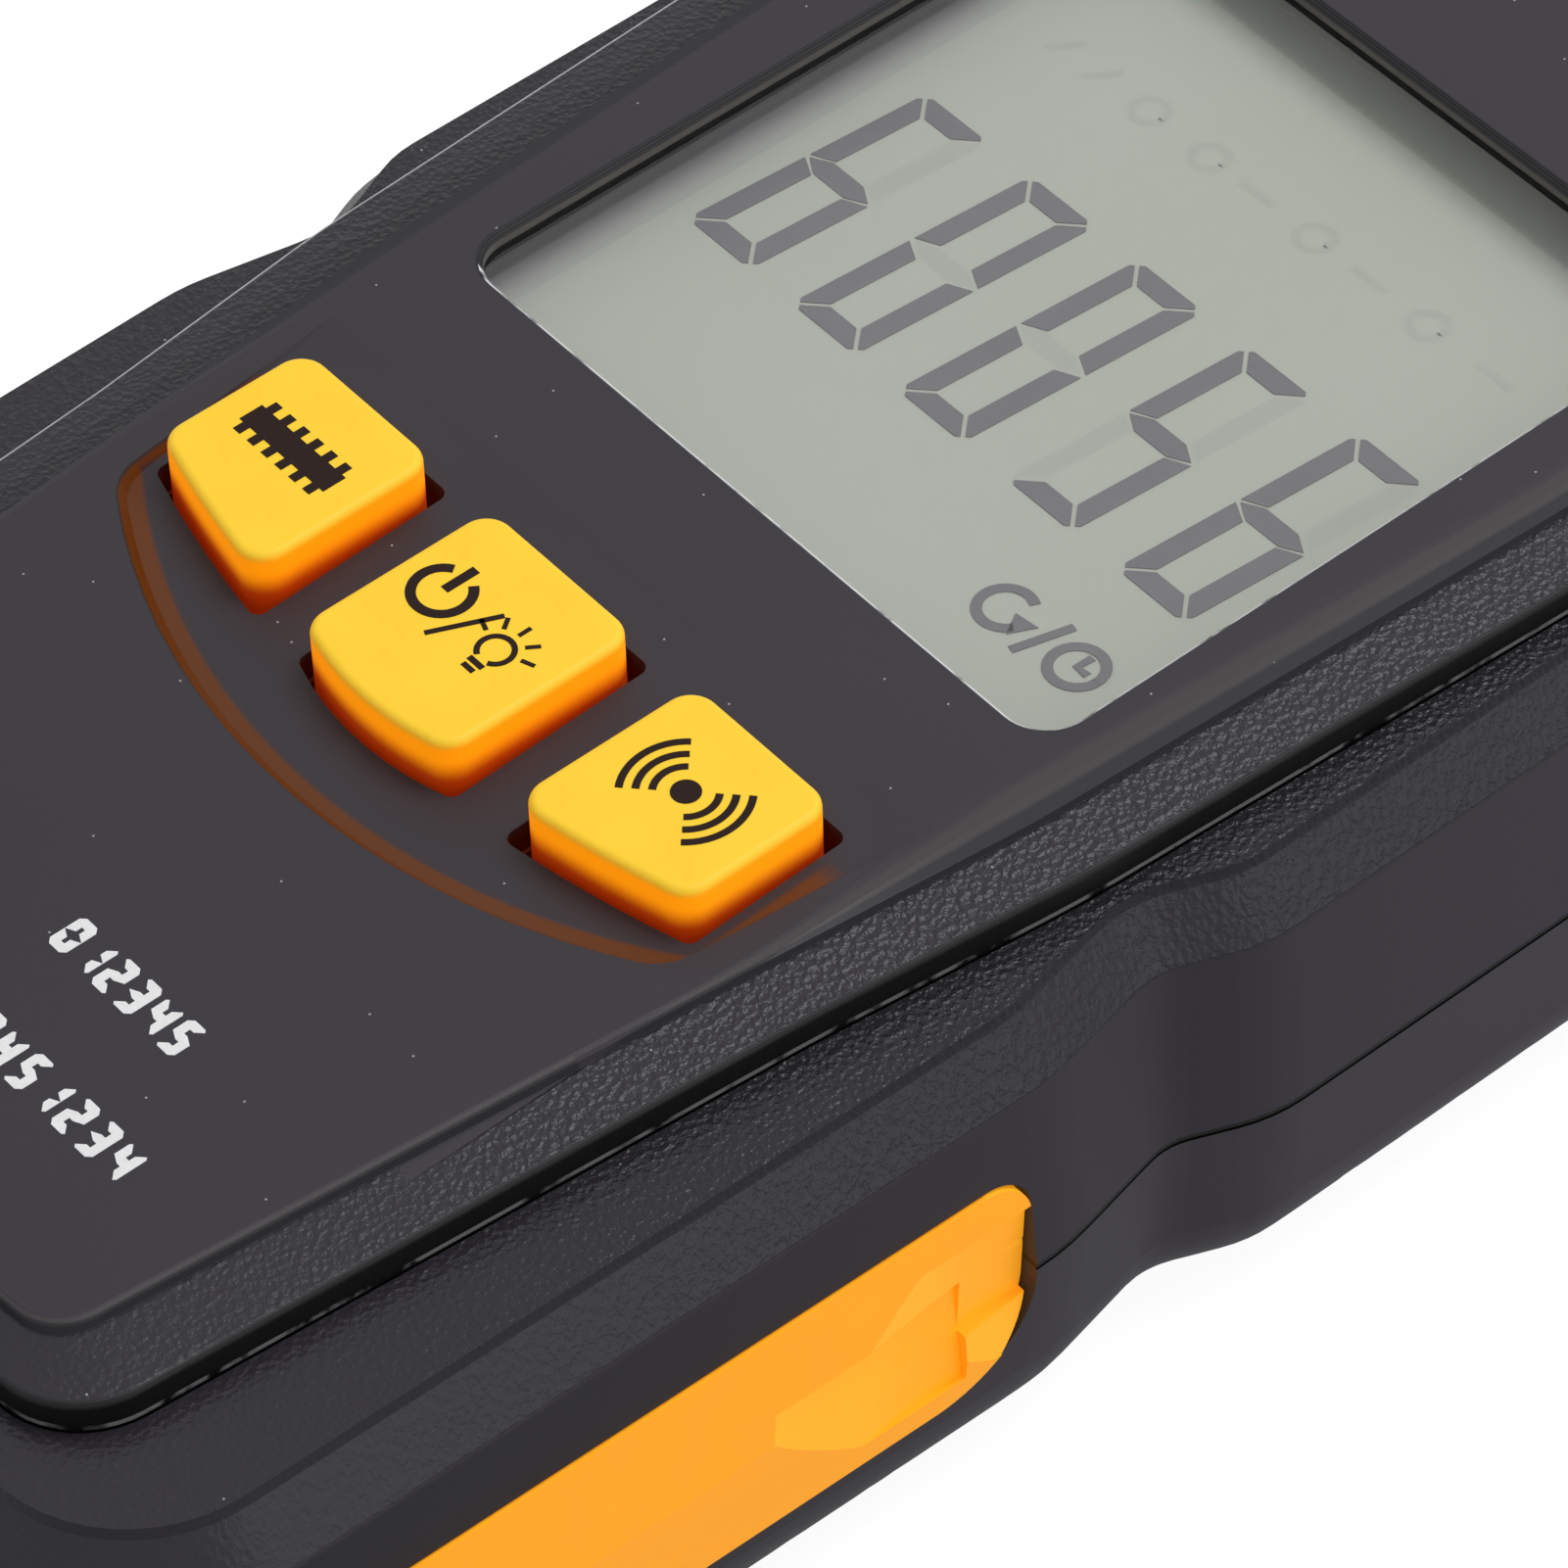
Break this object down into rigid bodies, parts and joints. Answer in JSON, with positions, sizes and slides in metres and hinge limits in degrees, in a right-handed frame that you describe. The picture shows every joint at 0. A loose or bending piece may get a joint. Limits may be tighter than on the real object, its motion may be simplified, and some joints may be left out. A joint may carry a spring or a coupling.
{
  "type": "contact tachometer",
  "caption": "Handheld contact tachometer: waisted dark case with a raised face panel, display window, orange keys and side grips, and a spinning tip that is held on a turning shaft.",
  "frame": {"origin": "on the flat back's surface, under the middle of the whole length and width", "axes": "+X to the right of the face, +Y from the handle's tail to the contact tip, +Z out of the face"},
  "size_m": [0.056, 0.158, 0.0271],
  "materials": {
    "shell_plastic": "fine grain, satin",
    "panel_plastic": "fine grain, satin",
    "clear_window": "clear, polished",
    "display_glass": "satin grey-green",
    "white_plastic": "smooth",
    "light_guide": "milky, smooth",
    "strip_rubber": "smooth",
    "key_rubber": "satin",
    "plunger_plastic": "smooth",
    "switch_plastic": "smooth",
    "board_laminate": "smooth",
    "chip_plastic": "matte",
    "spindle_steel": "turned",
    "bush_brass": "turned",
    "tip_rubber": "matte",
    "cell_sleeve": "smooth",
    "contact_steel": "plated",
    "grip_rubber": "satin",
    "screw_steel": "zinc plated"
  },
  "bodies": {
    "case": {"front_shell": "shell_plastic", "back_shell": "shell_plastic", "nose_housing": "shell_plastic", "face_panel": "panel_plastic", "window_pane": "clear_window", "display_panel": "display_glass", "display_frame": "white_plastic", "backlight_guide": "light_guide", "contact_strip": "strip_rubber", "memory_switch": "switch_plastic", "power_switch": "switch_plastic", "measure_switch": "switch_plastic", "circuit_board": "board_laminate", "controller_chip": "chip_plastic", "speed_sensor": "chip_plastic", "rear_bush": "bush_brass", "front_bush": "bush_brass", "battery_left": "cell_sleeve", "battery_middle": "cell_sleeve", "battery_right": "cell_sleeve", "spring_contact_left": "contact_steel", "spring_contact_middle": "contact_steel", "spring_contact_right": "contact_steel", "plate_contact_left": "contact_steel", "plate_contact_middle": "contact_steel", "plate_contact_right": "contact_steel", "side_grip_left": "grip_rubber", "side_grip_right": "grip_rubber", "case_screws": "screw_steel", "board_screws": "screw_steel"},
    "memory_key": {"memory_key": "key_rubber", "memory_plunger": "plunger_plastic"},
    "power_key": {"power_key": "key_rubber", "power_plunger": "plunger_plastic"},
    "measure_key": {"measure_key": "key_rubber", "measure_plunger": "plunger_plastic"},
    "spindle": {"spindle": "spindle_steel", "encoder_disc": "chip_plastic", "contact_tip": "tip_rubber"},
    "battery_door": {"battery_door": "shell_plastic"}
  },
  "joints": [
    {"name": "memory_press", "type": "slide", "parent": "case", "child": "memory_key", "axis": [0, 0, -1], "range_m": [0, 0.0005], "stiffness_N_per_m": 300},
    {"name": "power_press", "type": "slide", "parent": "case", "child": "power_key", "axis": [0, 0, -1], "range_m": [0, 0.0005], "stiffness_N_per_m": 300},
    {"name": "measure_press", "type": "slide", "parent": "case", "child": "measure_key", "axis": [0, 0, -1], "range_m": [0, 0.0005], "stiffness_N_per_m": 300},
    {"name": "spindle_spin", "type": "hinge", "parent": "case", "child": "spindle", "pos_m": [0, 0, 0.01135], "axis": [0, 1, 0], "continuous": true},
    {"name": "battery_door_slide", "type": "slide", "parent": "case", "child": "battery_door", "axis": [0, -1, 0], "range_m": [0, 0.055]}
  ]
}
